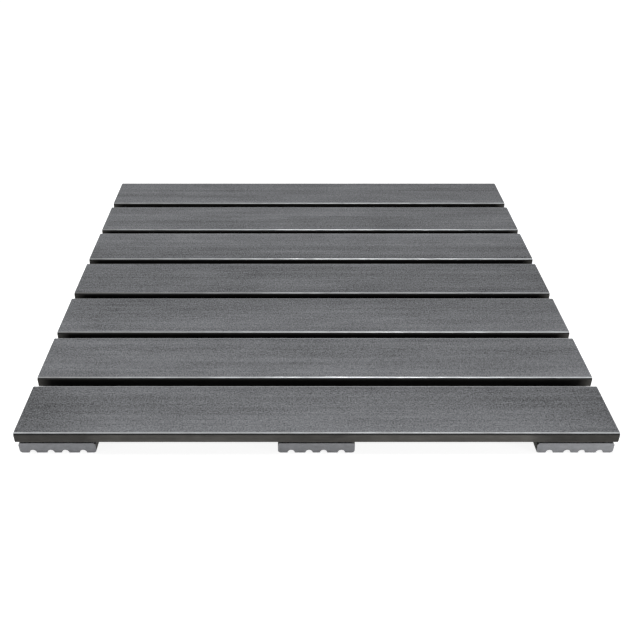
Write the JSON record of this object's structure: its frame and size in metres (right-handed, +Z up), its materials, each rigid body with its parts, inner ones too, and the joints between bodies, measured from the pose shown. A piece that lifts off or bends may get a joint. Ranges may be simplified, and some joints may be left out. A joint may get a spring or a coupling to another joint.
{
  "type": "slatted deck tile",
  "caption": "Square slatted deck tile: flat boards laid with drainage gaps on three cross bearers with grooved undersides, screwed from below.",
  "frame": {"origin": "on the ground under the middle of the tile", "axes": "+X along the deck boards to the right, +Y from the front board to the back board, +Z up through the walking surface"},
  "size_m": [1, 1, 0.042],
  "materials": {
    "brushed_composite": "dark grey wood-plastic composite, wire-brushed along the board on top, smooth satin on the sides and rounded edges, sawn ends",
    "bearer_composite": "the same grey wood-plastic composite as the boards, a little lighter at its sawn ends",
    "screw_steel": "plain stainless steel, satin"
  },
  "bodies": {
    "root": {"deck_board_1": "brushed_composite", "deck_board_2": "brushed_composite", "deck_board_3": "brushed_composite", "deck_board_4": "brushed_composite", "deck_board_5": "brushed_composite", "deck_board_6": "brushed_composite", "deck_board_7": "brushed_composite", "bearer_left": "bearer_composite", "bearer_middle": "bearer_composite", "bearer_right": "bearer_composite", "screws": "screw_steel"}
  },
  "joints": []
}
